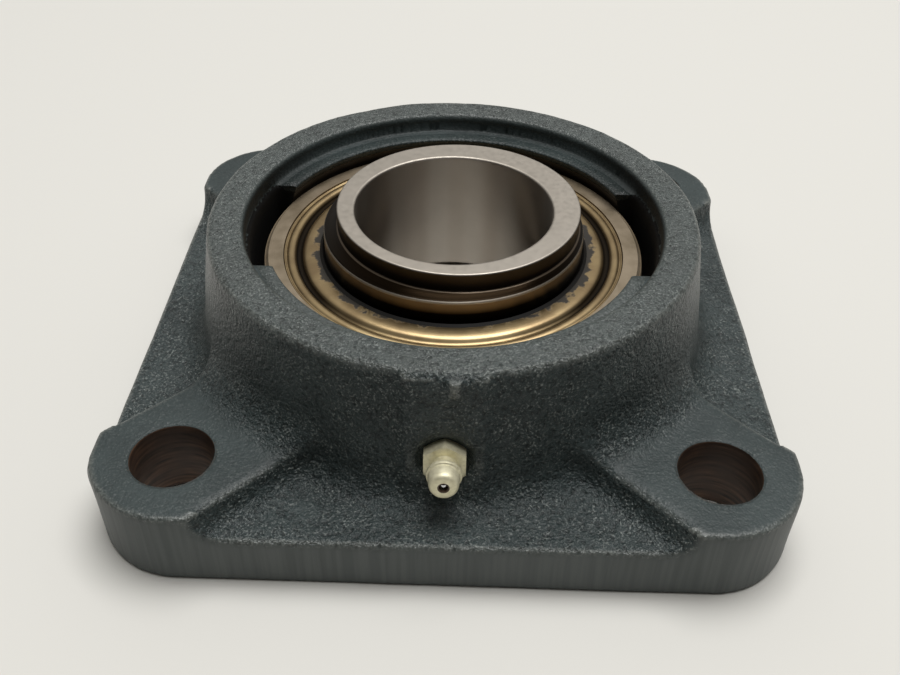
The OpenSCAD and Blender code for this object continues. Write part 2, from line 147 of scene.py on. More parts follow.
for vert in cast.verts:
    off_slots = abs(vert.co.y) > slot_half - 0.2 * MM
    at_lip = abs(vert.co.z - ledge_h + 0.5 * MM) < 0.9 * MM
    if off_slots and at_lip and vert.co.xy.length < behind_lip:
        vert.co.xy *= behind_lip / vert.co.xy.length
cast.normal_update()

# The boss tops and the ground sides are smooth, the rest is sandy, and the ridges, the parting mark
# and the rim get a share that the paint shows paler and shinier: handling wear and painted sheen.
# These shares go to the paint as well.
for vert in cast.verts:
    out = math.hypot(*vert.co.xy)
    near_edge = max(0, 1 - max(0, inside_edge(vert.co)) / (0.8 * MM))
    vert[ground] = near_edge * max(0, 1 - 1.6 * abs(vert.normal.z))
    on_boss = max(0, 1 - abs(vert.co.z - boss_h) / (1.2 * MM)) * max(0, vert.normal.z)
    vert[sandy] = (1 - 0.75 * on_boss) * (1 - vert[ground])
    vert[sandy] *= max(0.15, min(1, (out - recess_r - 0.1 * MM) / (0.9 * MM)))
    if vert.co.z < 0.05 * MM:
        vert[sandy] = 0
    ways = [(edge.other_vert(vert).co - vert.co).normalized() for edge in vert.link_edges]
    falls = [way.dot(vert.normal) for way in ways]
    rounded = limited((-sum(falls) / len(falls) - 0.035) / 0.09)
    marked = 0
    if vert.co.y < hub_front:
        off_mark = vert.co - parting_at
        marked = math.exp(-(off_mark.x / (0.9 * MM)) ** 2 - (off_mark.z / (1.9 * MM)) ** 4)
    on_rim = 0.33 * max(0, 1 - (rim_h - vert.co.z) / MM) if out > recess_r else 0
    if vert.co.y < hub_front and abs(vert.co.x) < 8 * MM and vert.co.z > 38.6 * MM:
        on_rim += rounded
    if out < recess_r + 0.6 * MM:
        rounded = 0
    off_hole = limited((from_bolt(vert.co) - bolt_r - MM) / (1.5 * MM))
    rounded *= min(1, vert.co.z / (4 * MM)) * off_hole * (1 - 0.6 * near_edge)
    vert[ridge] = max(rounded, marked, on_rim)

# The cast skin swells and dips in lumps of 12 mm and grains of 1.5 to 2.6 mm, which fade near the
# holes, the recess and the back. The left corner has one nick, and the rim's inner edge is rounded.
for vert in soft:
    lumps = noise.noise(vert.co / (12 * MM)) * 0.18 * MM
    coarse = noise.noise(vert.co / (2.6 * MM)) * 0.05 * MM
    grains = coarse + noise.noise(vert.co / (1.5 * MM)) * 0.02 * MM
    swell = 0.55 * MM * math.exp(-((vert.co - nick_at).length / (2.6 * MM)) ** 2)
    off_faces = limited((from_bolt(vert.co) - bolt_r - 0.6 * MM) / (4 * MM))
    off_faces *= limited((math.hypot(*vert.co.xy) - recess_r - 1.2 * MM) / (2 * MM))
    off_back = limited(vert.co.z / (2 * MM))
    uneven = (lumps * off_faces + grains * vert[sandy] * off_faces) * off_back
    vert.co += vert.normal * (uneven + swell)
    out = Vector((vert.co.x, vert.co.y)).length
    corner = Vector((out - recess_r - rim_edge_r, vert.co.z - rim_h + rim_edge_r))
    if corner.x < 0 and corner.y > 0 and out > recess_r - 0.6 * MM:
        corner = corner.normalized() * rim_edge_r
        flat = Vector((vert.co.x, vert.co.y)).normalized() * (recess_r + rim_edge_r + corner.x)
        vert.co = (flat.x, flat.y, rim_h - rim_edge_r + corner.y)
    vert.co.z = max(vert.co.z, 0)
PAINTED, DRILLED, TURNED, SLOT_SHADE = range(4)
for face in cast.faces:
    face.smooth = True
    middle = face.calc_center_median()
    out = math.hypot(middle.x, middle.y)
    in_slot = (abs(middle.y) < slot_half + 0.2 * MM and seat_r - 2 * MM < out < recess_r - 0.1 * MM
               and slot_floor - 0.3 * MM < middle.z < ledge_h + 0.3 * MM)
    in_seat = ((middle - seat_centre).length < seat_r + 0.1 * MM
               and abs(middle.z - seat_centre.z) < seat_half)
    # Slot walls take the near-black slot iron: painted shade with old grease.
    if in_slot:
        face.material_index = SLOT_SHADE
    elif from_bolt(middle) < bolt_r + 0.2 * MM:
        face.material_index = DRILLED
    elif middle.z < 0.1 * MM or in_seat:
        face.material_index = TURNED


def numbered(made):
    """Builds a mesh again in one fixed order, because spinning numbers it anew in each run."""
    for number, vert in enumerate(sorted(made.verts, key=lambda vert: vert.co[:])):
        vert.index = number
    made.verts.sort()
    for parts in (made.edges, made.faces):
        in_order = sorted(parts, key=lambda part: sorted(vert.index for vert in part.verts))
        for number, part in enumerate(in_order):
            part.index = number
        parts.sort()
    mesh = bpy.data.meshes.new("in_order")
    made.to_mesh(mesh)
    made.clear()
    made.from_mesh(mesh)
    bpy.data.meshes.remove(mesh)


def turned(made, profile, steps, at=(0, 0, 0)):
    """Turns a closed cross section, as radii and heights in millimetres, about an upright axis."""
    corners = [made.verts.new((at[0] + r * MM, at[1], at[2] + z * MM)) for r, z in profile]
    edges = [made.edges.new(pair) for pair in zip(corners, corners[1:] + corners[:1])]
    before = set(made.faces)
    bmesh.ops.spin(made, geom=corners + edges, cent=at, axis=(0, 0, 1), angle=math.tau,
                   steps=steps, use_merge=True)
    faces = [face for face in made.faces if face not in before]
    bmesh.ops.recalc_face_normals(made, faces=faces)
    for face in faces:
        face.smooth = True
    numbered(made)


# The drilled walls and the ledge's rounded lip are turned by themselves, so that their edges run
# clean, and are joined to the skin. The two loading slots interrupt the lip.
hole_wall = [(8.3, 0.05), (8.02, 0.35), (8, 0.7), (8, 16.3), (8.03, 16.6), (8.14, 16.84),
             (8.36, 16.96), (8.4, 16.5), (8.25, 16.2), (8.25, 0.05)]
mouth_h = 16.75 * MM
walls = bmesh.new()
for x in (-bolt_at, bolt_at):
    for y in (-bolt_at, bolt_at):
        turned(walls, hole_wall, steps=72, at=(x, y, 0))
for face in walls.faces:
    face.material_index = PAINTED if face.calc_center_median().z > mouth_h else DRILLED
ledge_lip = [(45.2, 36.05), (41.1, 36.05), (40.75, 35.98), (40.52, 35.8), (40.45, 35.55),
             (40.8, 34.4), (42, 34.6), (45.2, 35.6)]
lips = bmesh.new()
turned(lips, ledge_lip, steps=180)
for side in (-1, 1):
    bmesh.ops.bisect_plane(lips, geom=lips.verts[:] + lips.edges[:] + lips.faces[:],
                           plane_co=(0, side * slot_half, 0), plane_no=(0, 1, 0))
over_slots = [face for face in lips.faces if abs(face.calc_center_median().y) < slot_half]
bmesh.ops.delete(lips, geom=over_slots, context="FACES")
bmesh.ops.edgeloop_fill(lips, edges=[edge for edge in lips.edges if edge.is_boundary])
for made, name in ((walls, "bolt_hole_walls"), (lips, "ledge_lips")):
    mesh = bpy.data.meshes.new(name)
    made.to_mesh(mesh)
    made.free()
    first_joined = len(cast.verts)
    cast.from_mesh(mesh)
    bpy.data.meshes.remove(mesh)
# Joining renews the layers. The lips came last: they are half sandy, and at the front carry the
# ridge share: wear and painted sheen.
sandy, ridge = cast.verts.layers.float["sandy"], cast.verts.layers.float["ridge"]
for vert in cast.verts[first_joined:]:
    vert[sandy], vert[ridge] = 0.5, 0.3 if vert.co.y < 0 else 0
cast.to_mesh(casting)
cast.free()
thin = housing.modifiers.new("fewer_triangles", "DECIMATE")
thin.ratio = 0.55


def linear(code):
    """A colour written as sRGB hex, as the linear numbers that a shader takes."""
    parts = [int(code[i:i + 2], 16) / 255 for i in (1, 3, 5)]
    return tuple(c / 12.92 if c <= 0.04045 else ((c + 0.055) / 1.055) ** 2.4 for c in parts) + (1,)


def add(tree, kind, settings=None, links=None):
    """Adds one node, sets its own settings and its sockets' values, and links its sockets.

    The sockets of a Mix node share their names, so they go by number: 0 for the share, 2 and 3 for
    two values, 6 and 7 for two colours, and output 0 for a value or 2 for a colour.
    """
    node = tree.nodes.new("ShaderNode" + kind)
    for name, value in (settings or {}).items():
        if isinstance(name, str) and hasattr(node, name):
            setattr(node, name, value)
        else:
            node.inputs[name].default_value = value
    for name, source in (links or {}).items():
        tree.links.new(source, node.inputs[name])
    return node


def finish_named(name, settings):
    """A new material: its node tree, its shader with those values, and Object coordinates."""
    made = bpy.data.materials.new(name)
    made.use_nodes = True
    tree = made.node_tree
    shader = tree.nodes["Principled BSDF"]
    for socket, value in settings.items():
        shader.inputs[socket].default_value = value
    return made, tree, shader, add(tree, "TexCoord").outputs["Object"]


# Slate paint over a sand-cast skin: a thin dull coat that follows lumps of about 1 mm and grains of
# 0.45 mm, with painted shade in the lumps' pits and painted glints on the grain tops in drifts.
# Ridges are paler and shine: wear and painted sheen. The ground sides show faint upright streaks,
# and the recess is darkened near black beside the slots: painted shade with old oil.
paint, tree, shader, place = finish_named("slate_paint_on_cast_iron", {"IOR": 1.5})
edge = add(tree, "Attribute", {"attribute_name": "ground_edge"}).outputs["Fac"]
sand = add(tree, "Attribute", {"attribute_name": "sandy"}).outputs["Fac"]
ridge_share = add(tree, "Attribute", {"attribute_name": "ridge"}).outputs["Fac"]
patches = add(tree, "TexNoise", {"Scale": 1 / (14 * MM), "Detail": 4},
              {"Vector": place}).outputs["Fac"]
lumps = add(tree, "TexNoise", {"Scale": 1 / MM, "Detail": 3, "Roughness": 0.55},
            {"Vector": place}).outputs["Fac"]
grain = add(tree, "TexNoise", {"Scale": 1 / (0.45 * MM), "Detail": 2},
            {"Vector": place}).outputs["Fac"]
upright = add(tree, "Mapping", {"Scale": (1, 1, 0.03)}, {"Vector": place}).outputs["Vector"]
streaks = add(tree, "TexNoise", {"Scale": 1 / (1.1 * MM), "Detail": 3},
              {"Vector": upright}).outputs["Fac"]
mottle = add(tree, "MapRange", {"From Min": 0.35, "From Max": 0.65},
             {"Value": patches}).outputs["Result"]
tone = add(tree, "Mix", {"data_type": "RGBA", 6: linear("#2E3636"), 7: linear("#394242")},
           {0: mottle}).outputs[2]
worn = add(tree, "MapRange", {"From Min": 0.35, "From Max": 0.65, "To Min": 0.65, "To Max": 1},
           {"Value": streaks}).outputs["Result"]
worn = add(tree, "Math", {"operation": "MULTIPLY"}, {0: worn, 1: edge}).outputs["Value"]
tone = add(tree, "Mix", {"data_type": "RGBA", 7: linear("#5C6160")}, {0: worn, 6: tone}).outputs[2]
patchy = add(tree, "MapRange", {"From Min": 0.38, "From Max": 0.62, "To Min": 0.6, "To Max": 1},
             {"Value": grain}).outputs["Result"]
# The ridge share: paler and shinier, partly wear and partly painted sheen.
wear_and_sheen = add(tree, "Math", {"operation": "MULTIPLY"}, {0: ridge_share, 1: patchy}).outputs["Value"]
tone = add(tree, "Mix", {"data_type": "RGBA", 7: linear("#6F726D")},
           {0: wear_and_sheen, 6: tone}).outputs[2]
# Painted shade: the low points of the lumps are darkened on the sandy skin.
painted_pit_shade = add(tree, "MapRange", {"From Min": 0.36, "From Max": 0.5, "To Min": 0.7, "To Max": 0},
           {"Value": lumps}).outputs["Result"]
painted_pit_shade = add(tree, "Math", {"operation": "MULTIPLY"}, {0: painted_pit_shade, 1: sand}).outputs["Value"]
tone = add(tree, "Mix", {"data_type": "RGBA", "blend_type": "MULTIPLY", 7: linear("#848888")},
           {0: painted_pit_shade, 6: tone}).outputs[2]
# Painted glints: the grain's high points are mixed paler in drifts, on the sandy skin.
painted_glints = add(tree, "MapRange", {"From Min": 0.54, "From Max": 0.76, "To Max": 0.75},
            {"Value": grain}).outputs["Result"]
painted_glints = add(tree, "Math", {"operation": "MULTIPLY"}, {0: painted_glints, 1: sand}).outputs["Value"]
drifts = add(tree, "TexNoise", {"Scale": 1 / (5 * MM), "Detail": 2},
             {"Vector": place}).outputs["Fac"]
glint_share = add(tree, "MapRange", {"From Min": 0.38, "From Max": 0.62, "To Min": 0.35,
                                    "To Max": 1.25}, {"Value": drifts}).outputs["Result"]
painted_glints = add(tree, "Math", {"operation": "MULTIPLY"}, {0: painted_glints, 1: glint_share}).outputs["Value"]
tone = add(tree, "Mix", {"data_type": "RGBA", 7: linear("#8D928E")}, {0: painted_glints, 6: tone}).outputs[2]
axes = add(tree, "SeparateXYZ", links={"Vector": place})
flat = add(tree, "CombineXYZ",
           links={"X": axes.outputs["X"], "Y": axes.outputs["Y"]}).outputs["Vector"]
out = add(tree, "VectorMath", {"operation": "LENGTH"}, {0: flat}).outputs["Value"]
# Painted shade with old oil: the recess wall and ledge beside the slots are mixed near black.
recess = add(tree, "MapRange", {"From Min": recess_r + 0.5 * MM, "From Max": recess_r - 0.1 * MM},
             {"Value": out}).outputs["Result"]
beside = add(tree, "Math", {"operation": "ABSOLUTE"}, {0: axes.outputs["Y"]}).outputs["Value"]
near_slot = add(tree, "MapRange", {"From Min": 34 * MM, "From Max": slot_half, "To Min": 0.1,
                                   "To Max": 0.95}, {"Value": beside}).outputs["Result"]
on_wall = add(tree, "MapRange", {"From Min": ledge_h + 0.2 * MM, "From Max": ledge_h + 0.7 * MM},
              {"Value": axes.outputs["Z"]}).outputs["Result"]
oil_and_shade = add(tree, "Math", {"operation": "MULTIPLY"}, {0: recess, 1: near_slot}).outputs["Value"]
on_ledge = add(tree, "MapRange", {"From Min": 0, "From Max": slot_half, "To Max": 0.55},
               {"Value": axes.outputs["Y"]}).outputs["Result"]
on_either = add(tree, "Math", {"operation": "MAXIMUM"}, {0: on_wall, 1: on_ledge}).outputs["Value"]
oil_and_shade = add(tree, "Math", {"operation": "MULTIPLY"}, {0: oil_and_shade, 1: on_either}).outputs["Value"]
tone = add(tree, "Mix", {"data_type": "RGBA", 7: linear("#12100D")}, {0: oil_and_shade, 6: tone}).outputs[2]
tree.links.new(tone, shader.inputs["Base Color"])
gloss = add(tree, "MapRange", {"To Min": 0.5, "To Max": 0.3}, {"Value": sand}).outputs["Result"]
gloss = add(tree, "Mix", {"data_type": "FLOAT", 3: 0.25}, {0: wear_and_sheen, 2: gloss}).outputs[0]
tree.links.new(gloss, shader.inputs["Roughness"])
sheen = add(tree, "MapRange", {"To Min": 0.3, "To Max": 0.7}, {"Value": wear_and_sheen}).outputs["Result"]
tree.links.new(sheen, shader.inputs["Specular IOR Level"])
skin_height = add(tree, "Math", {"operation": "MULTIPLY_ADD", 1: 0.5},
                  {0: grain, 2: lumps}).outputs["Value"]
height = add(tree, "Mix", {"data_type": "FLOAT"}, {0: edge, 2: skin_height, 3: streaks}).outputs[0]
firm = add(tree, "MapRange", {"To Min": 0.15, "To Max": 1}, {"Value": sand}).outputs["Result"]
bump = add(tree, "Bump", {"Distance": 0.6 * MM},
           {"Height": height, "Strength": firm}).outputs["Normal"]
tree.links.new(bump, shader.inputs["Normal"])

# Drilled cast iron: the bolt holes' bare walls, browned by thin rust, with rings left by the drill.
drilled, tree, shader, place = finish_named(
    "drilled_cast_iron", {"Metallic": 0.2, "Roughness": 0.5})
rings = add(tree, "Mapping", {"Scale": (0.08, 0.08, 1)}, {"Vector": place}).outputs["Vector"]
marks = add(tree, "TexNoise", {"Scale": 1 / (0.9 * MM), "Detail": 3},
            {"Vector": rings}).outputs["Fac"]
scored = add(tree, "MapRange", {"From Min": 0.35, "From Max": 0.65},
             {"Value": marks}).outputs["Result"]
rust = add(tree, "TexNoise", {"Scale": 1 / (4 * MM), "Detail": 5}, {"Vector": place}).outputs["Fac"]
tone = add(tree, "Mix", {"data_type": "RGBA", 6: linear("#18100A"), 7: linear("#6C5240")},
           {0: scored}).outputs[2]
patchy = add(tree, "MapRange", {"From Min": 0.4, "From Max": 0.62, "To Max": 0.7},
             {"Value": rust}).outputs["Result"]
tone = add(tree, "Mix", {"data_type": "RGBA", 7: linear("#4A3A30")},
           {0: patchy, 6: tone}).outputs[2]
tree.links.new(tone, shader.inputs["Base Color"])
bump = add(tree, "Bump", {"Strength": 0.4, "Distance": 0.08 * MM},
           {"Height": marks}).outputs["Normal"]
tree.links.new(bump, shader.inputs["Normal"])

# Turned cast iron: the seat and the back face, bare and dull with the lathe tool's fine rings,
# drawn at 0.7 mm, coarser than the real feed, so that they show. Everything above the back face
# is darkened brown: painted shade in the deep seat, with oil.
# A wave texture of scale 1 has its rings this far apart.
ring_spacing = math.tau / 20
machined, tree, shader, place = finish_named(
    "turned_cast_iron", {"Metallic": 0.85, "Roughness": 0.42})
rings = add(tree, "TexWave",
            {"wave_type": "RINGS", "rings_direction": "Z",
             "Scale": ring_spacing / (0.7 * MM), "Distortion": 0.6},
            {"Vector": place}).outputs["Fac"]
cloud = add(tree, "TexNoise", {"Scale": 1 / (9 * MM), "Detail": 4},
            {"Vector": place}).outputs["Fac"]
tone = add(tree, "Mix", {"data_type": "RGBA", 6: linear("#55524F"), 7: linear("#7A7773")},
           {0: cloud}).outputs[2]
height = add(tree, "SeparateXYZ", links={"Vector": place}).outputs["Z"]
# Painted shade with oil: the seat, above the lowest 1 to 6 mm, is mixed dark brown.
oil_and_shade = add(tree, "MapRange", {"From Min": 1 * MM, "From Max": 6 * MM, "To Max": 0.85},
            {"Value": height}).outputs["Result"]
tone = add(tree, "Mix", {"data_type": "RGBA", 7: linear("#231C15")}, {0: oil_and_shade, 6: tone}).outputs[2]
tree.links.new(tone, shader.inputs["Base Color"])
bump = add(tree, "Bump", {"Strength": 0.3, "Distance": 0.03 * MM},
           {"Height": rings}).outputs["Normal"]
tree.links.new(bump, shader.inputs["Normal"])

# Slot iron: the walls of the loading slots, bare iron mixed near black: painted shade for the
# deep slots, with old grease.
slot_shade, tree, shader, place = finish_named(
    "slot_iron_painted_shade", {"Roughness": 0.7, "Specular IOR Level": 0.2})
cloud = add(tree, "TexNoise", {"Scale": 1 / (3 * MM), "Detail": 4},
            {"Vector": place}).outputs["Fac"]
tone = add(tree, "Mix", {"data_type": "RGBA", 6: linear("#060606"), 7: linear("#0E0D0C")},
           {0: cloud}).outputs[2]
tree.links.new(tone, shader.inputs["Base Color"])
bump = add(tree, "Bump", {"Strength": 0.5, "Distance": 0.1 * MM},
           {"Height": cloud}).outputs["Normal"]
tree.links.new(bump, shader.inputs["Normal"])

for finish in (paint, drilled, machined, slot_shade):
    casting.materials.append(finish)
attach(housing, "housing")
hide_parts("housing")

# Outer ring: hardened bearing steel, its outside ground to a sphere that swivels in the seat.
# Preservative oil has dried tan on its front face, which has one short slit near its edge.
stained, tree, shader, place = finish_named(
    "oil_stained_bearing_steel", {"Metallic": 0.6, "Roughness": 0.48})
cloud = add(tree, "TexNoise", {"Scale": 1 / (5 * MM), "Detail": 5},
            {"Vector": place}).outputs["Fac"]
cloudy = add(tree, "MapRange", {"From Min": 0.35, "From Max": 0.65},
             {"Value": cloud}).outputs["Result"]
tone = add(tree, "Mix", {"data_type": "RGBA", 6: linear("#7A6D59"), 7: linear("#948672")},
           {0: cloudy}).outputs[2]
slit_turn = math.radians(41)
along = add(tree, "Mapping", {"Rotation": (0, 0, slit_turn)}, {"Vector": place}).outputs["Vector"]
axes = add(tree, "SeparateXYZ", links={"Vector": along})
beside = add(tree, "Math", {"operation": "ABSOLUTE"}, {0: axes.outputs["Y"]}).outputs["Value"]
narrow = add(tree, "Math", {"operation": "LESS_THAN", 1: 0.16 * MM}, {0: beside}).outputs["Value"]
outer = add(tree, "Math", {"operation": "GREATER_THAN", 1: 37.8 * MM},
            {0: axes.outputs["X"]}).outputs["Value"]
slit = add(tree, "Math", {"operation": "MULTIPLY"}, {0: narrow, 1: outer}).outputs["Value"]
tone = add(tree, "Mix", {"data_type": "RGBA", 7: linear("#14110E")}, {0: slit, 6: tone}).outputs[2]
tree.links.new(tone, shader.inputs["Base Color"])
rings = add(tree, "TexWave",
            {"wave_type": "RINGS", "rings_direction": "Z",
             "Scale": ring_spacing / (0.5 * MM), "Distortion": 0.8},
            {"Vector": place}).outputs["Fac"]
bump = add(tree, "Bump", {"Strength": 0.15, "Distance": 0.02 * MM},
           {"Height": rings}).outputs["Normal"]
tree.links.new(bump, shader.inputs["Normal"])


def dress(node, finish):
    """Gives a piece that stays as CAD made it its material."""
    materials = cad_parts[node].data.materials
    materials.clear()
    materials.append(finish)


dress("outer_ring", stained)

# Inner ring: through-hardened bearing steel, ground all over. The narrow upper end is the locking
# cam, ground off the bore's centre. The end face is dull, the bore and the outside shine.
bore_r, shoulder_r, cam_r = 21.431, 28.398, 26.498
low, shelf, top = 11.5, 37.4, 41.7
race_r, race_at, race_h = 6.604, 32.654, 22.5
cam_offset, cam_turn = 1.6, math.radians(52)
centred_r = 23
race_turns = [math.radians(turn) for turn in range(48, -49, -8)]
race = [(race_at - race_r * math.cos(turn), race_h + race_r * math.sin(turn))
        for turn in race_turns]
bore = [(bore_r, low + 0.9), (bore_r, low + 1.2), (bore_r, 20), (bore_r, 30),
        (bore_r, top - 0.9), (bore_r, top - 0.6), (bore_r + 0.07, top - 0.3),
        (bore_r + 0.24, top - 0.08), (bore_r + 0.5, top), (bore_r + 0.7, top)]
cam = [(cam_r - 0.45, top), (cam_r - 0.3, top), (cam_r - 0.1, top - 0.08), (cam_r, top - 0.28),
       (cam_r, top - 0.45), (cam_r, shelf + 0.55), (cam_r, shelf + 0.4),
       (cam_r - 0.3, shelf + 0.34), (cam_r - 0.4, shelf + 0.2), (cam_r - 0.4, shelf)]
upper_shoulder = [(shoulder_r - 0.66, shelf), (shoulder_r - 0.5, shelf),
                  (shoulder_r - 0.2, shelf - 0.12), (shoulder_r - 0.04, shelf - 0.36),
                  (shoulder_r, shelf - 0.6), (shoulder_r, shelf - 0.8), (shoulder_r, 27.8)]
lower_shoulder = [(shoulder_r, 17.2), (shoulder_r, low + 0.8), (shoulder_r, low + 0.6),
                  (shoulder_r - 0.2, low + 0.2), (shoulder_r - 0.6, low), (shoulder_r - 0.8, low)]
bore_foot = [(bore_r + 0.9, low), (bore_r + 0.7, low), (bore_r + 0.2, low + 0.2),
             (bore_r, low + 0.6)]
ring = bmesh.new()
turned(ring, bore + cam + upper_shoulder + race + lower_shoulder + bore_foot, steps=160)
cam_shift = Vector((cam_offset * math.cos(cam_turn), cam_offset * math.sin(cam_turn), 0)) * MM
for vert in ring.verts:
    out = math.hypot(vert.co.x, vert.co.y) / MM
    height = vert.co.z / MM
    if centred_r < out < cam_r + 0.01 and height > shelf - 0.01:
        vert.co += cam_shift


def shown(made, name, body, node, finish):
    """Makes a piece of a finished mesh, which rides on a body and stands for a CAD node."""
    bmesh.ops.remove_doubles(made, verts=made.verts, dist=0.0005 * MM)
    bmesh.ops.recalc_face_normals(made, faces=made.faces)
    mesh = bpy.data.meshes.new(name)
    made.to_mesh(mesh)
    made.free()
    mesh.materials.append(finish)
    piece = bpy.data.objects.new(name, mesh)
    bpy.context.scene.collection.objects.link(piece)
    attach(piece, body)
    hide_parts(node)
    return piece


# Ground steel: grinding leaves fine lines round the axis, drawn at 0.3 mm so that they show, and
# drying oil leaves a brown tint. Up the outside the colour goes in bands by height: painted shade
# near black low on the shoulder by the cap, a pale painted highlight on the shoulder's chamfer,
# near black at the shelf with oil and painted shade, dark brown up the cam wall with oil and
# painted shade, darkest at its foot, and a pale painted highlight round the cam's foot. The end
# face is dull and scuffed.
ground_steel, tree, shader, place = finish_named(
    "ground_bearing_steel", {"Metallic": 1, "Anisotropic Rotation": 0.25})
axes = add(tree, "SeparateXYZ", links={"Vector": place})
flat = add(tree, "CombineXYZ",
           links={"X": axes.outputs["X"], "Y": axes.outputs["Y"]}).outputs["Vector"]
out = add(tree, "VectorMath", {"operation": "LENGTH"}, {0: flat}).outputs["Value"]
around = add(tree, "CombineXYZ", links={"X": out, "Z": axes.outputs["Z"]}).outputs["Vector"]
lines = add(tree, "TexNoise", {"Scale": 1 / (0.3 * MM), "Detail": 3},
            {"Vector": around}).outputs["Fac"]
cloud = add(tree, "TexNoise", {"Scale": 1 / (8 * MM), "Detail": 4},
            {"Vector": place}).outputs["Fac"]
upright = add(tree, "Mapping", {"Scale": (1, 1, 0.06)}, {"Vector": place}).outputs["Vector"]
oil = add(tree, "TexNoise", {"Scale": 1 / (9 * MM), "Detail": 1},
          {"Vector": upright}).outputs["Fac"]
tone = add(tree, "Mix", {"data_type": "RGBA", 6: linear("#B2ABA1"), 7: linear("#C7BFB5")},
           {0: cloud}).outputs[2]
film = add(tree, "MapRange", {"From Min": 0.4, "From Max": 0.64, "To Min": 0, "To Max": 0.3},
           {"Value": oil}).outputs["Result"]
end_face = add(tree, "MapRange", {"From Min": 41.3 * MM, "From Max": 41.6 * MM},
               {"Value": axes.outputs["Z"]}).outputs["Result"]
below = add(tree, "Math", {"operation": "SUBTRACT", 0: 1}, {1: end_face}).outputs["Value"]
dulled = add(tree, "Math", {"operation": "MULTIPLY", 1: 0.4}, {0: end_face}).outputs["Value"]
tone = add(tree, "Mix", {"data_type": "RGBA", 7: linear("#8F887E")},
           {0: dulled, 6: tone}).outputs[2]
film = add(tree, "Math", {"operation": "MULTIPLY"}, {0: film, 1: below}).outputs["Value"]
tone = add(tree, "Mix", {"data_type": "RGBA", 7: linear("#86705C")}, {0: film, 6: tone}).outputs[2]
# Painted shade and painted highlight: bands by height up the outside, with oil at shelf and cam.
ramp_low, ramp_high = 34, 42
height = add(tree, "MapRange", {"From Min": ramp_low * MM, "From Max": ramp_high * MM},
             {"Value": axes.outputs["Z"]}).outputs["Result"]
ramp = add(tree, "ValToRGB", links={"Fac": height})
stops = ((34.2, "#0C0805"), (35.6, "#7E6B53"), (36.6, "#937F65"), (36.75, "#C4B9AA"),
         (37.2, "#C4B9AA"), (37.3, "#120D08"), (37.5, "#2C2217"), (41.3, "#5E5142"))
while len(ramp.color_ramp.elements) < len(stops):
    ramp.color_ramp.elements.new(1)
for stop, (at, code) in zip(ramp.color_ramp.elements, stops):
    stop.position = (at - ramp_low) / (ramp_high - ramp_low)
    stop.color = linear(code)
# Painted highlight: a pale line round the cam's foot.
from_cam = add(tree, "VectorMath", {"operation": "DISTANCE", 1: cam_shift},
               {0: flat}).outputs["Value"]
at_foot = add(tree, "MapRange", {"From Min": (cam_r + 0.35) * MM, "From Max": (cam_r + 0.15) * MM},
              {"Value": from_cam}).outputs["Result"]
low_down = add(tree, "MapRange", {"From Min": 37.75 * MM, "From Max": 37.6 * MM},
               {"Value": axes.outputs["Z"]}).outputs["Result"]
wear_and_sheen = add(tree, "Math", {"operation": "MULTIPLY"}, {0: at_foot, 1: low_down}).outputs["Value"]
oil_shade_and_highlight = add(tree, "Mix", {"data_type": "RGBA", 7: linear("#75685A")},
            {0: wear_and_sheen, 6: ramp.outputs["Color"]}).outputs[2]
outside = add(tree, "Math", {"operation": "GREATER_THAN", 1: 24.5 * MM}, {0: out}).outputs["Value"]
painted_band_share = add(tree, "Math", {"operation": "MULTIPLY"}, {0: outside, 1: below}).outputs["Value"]
tone = add(tree, "Mix", {"data_type": "RGBA"}, {0: painted_band_share, 6: tone, 7: oil_shade_and_highlight}).outputs[2]
tree.links.new(tone, shader.inputs["Base Color"])
stretched = add(tree, "Math", {"operation": "MULTIPLY", 1: 0.96}, {0: below}).outputs["Value"]
tree.links.new(stretched, shader.inputs["Anisotropic"])
shine = add(tree, "MapRange", {"To Min": 0.28, "To Max": 0.36}, {"Value": lines}).outputs["Result"]
scuffs = add(tree, "TexNoise", {"Scale": 1 / (1.2 * MM), "Detail": 4},
             {"Vector": place}).outputs["Fac"]
dull = add(tree, "MapRange", {"From Min": 0.3, "From Max": 0.7, "To Min": 0.43, "To Max": 0.56},
           {"Value": scuffs}).outputs["Result"]
gloss = add(tree, "Mix", {"data_type": "FLOAT"}, {0: end_face, 2: shine, 3: dull}).outputs[0]
tree.links.new(gloss, shader.inputs["Roughness"])
scuffed = add(tree, "Math", {"operation": "MULTIPLY"}, {0: scuffs, 1: end_face}).outputs["Value"]
relief = add(tree, "Math", {"operation": "MULTIPLY_ADD", 1: 14},
             {0: scuffed, 2: lines}).outputs["Value"]
bump = add(tree, "Bump", {"Strength": 0.12, "Distance": 0.01 * MM},
           {"Height": relief}).outputs["Normal"]
tree.links.new(bump, shader.inputs["Normal"])
tangent = add(tree, "Tangent", {"direction_type": "RADIAL", "axis": "Z"}).outputs["Tangent"]
tree.links.new(tangent, shader.inputs["Tangent"])
shown(ring, "inner_ring_ground", "inner_ring", "inner_ring", ground_steel)

# Balls: ten through-hardened balls between the raceways, lapped to a mirror. The small check ball
# in the nipple's tip is made in the same way.
polished, tree, shader, place = finish_named(
    "lapped_bearing_steel", {"Metallic": 1, "Base Color": linear("#D0D0D2")})
haze = add(tree, "TexNoise", {"Scale": 1 / (3 * MM), "Detail": 3}, {"Vector": place}).outputs["Fac"]
gloss = add(tree, "MapRange", {"To Min": 0.05, "To Max": 0.14}, {"Value": haze}).outputs["Result"]
tree.links.new(gloss, shader.inputs["Roughness"])
for node in [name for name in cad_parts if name.startswith("ball_")] + ["nipple_check_ball"]:
    dress(node, polished)

# Cage: two halves pressed from strip steel that hold the balls apart. Ten rivets between the
# pockets join them.


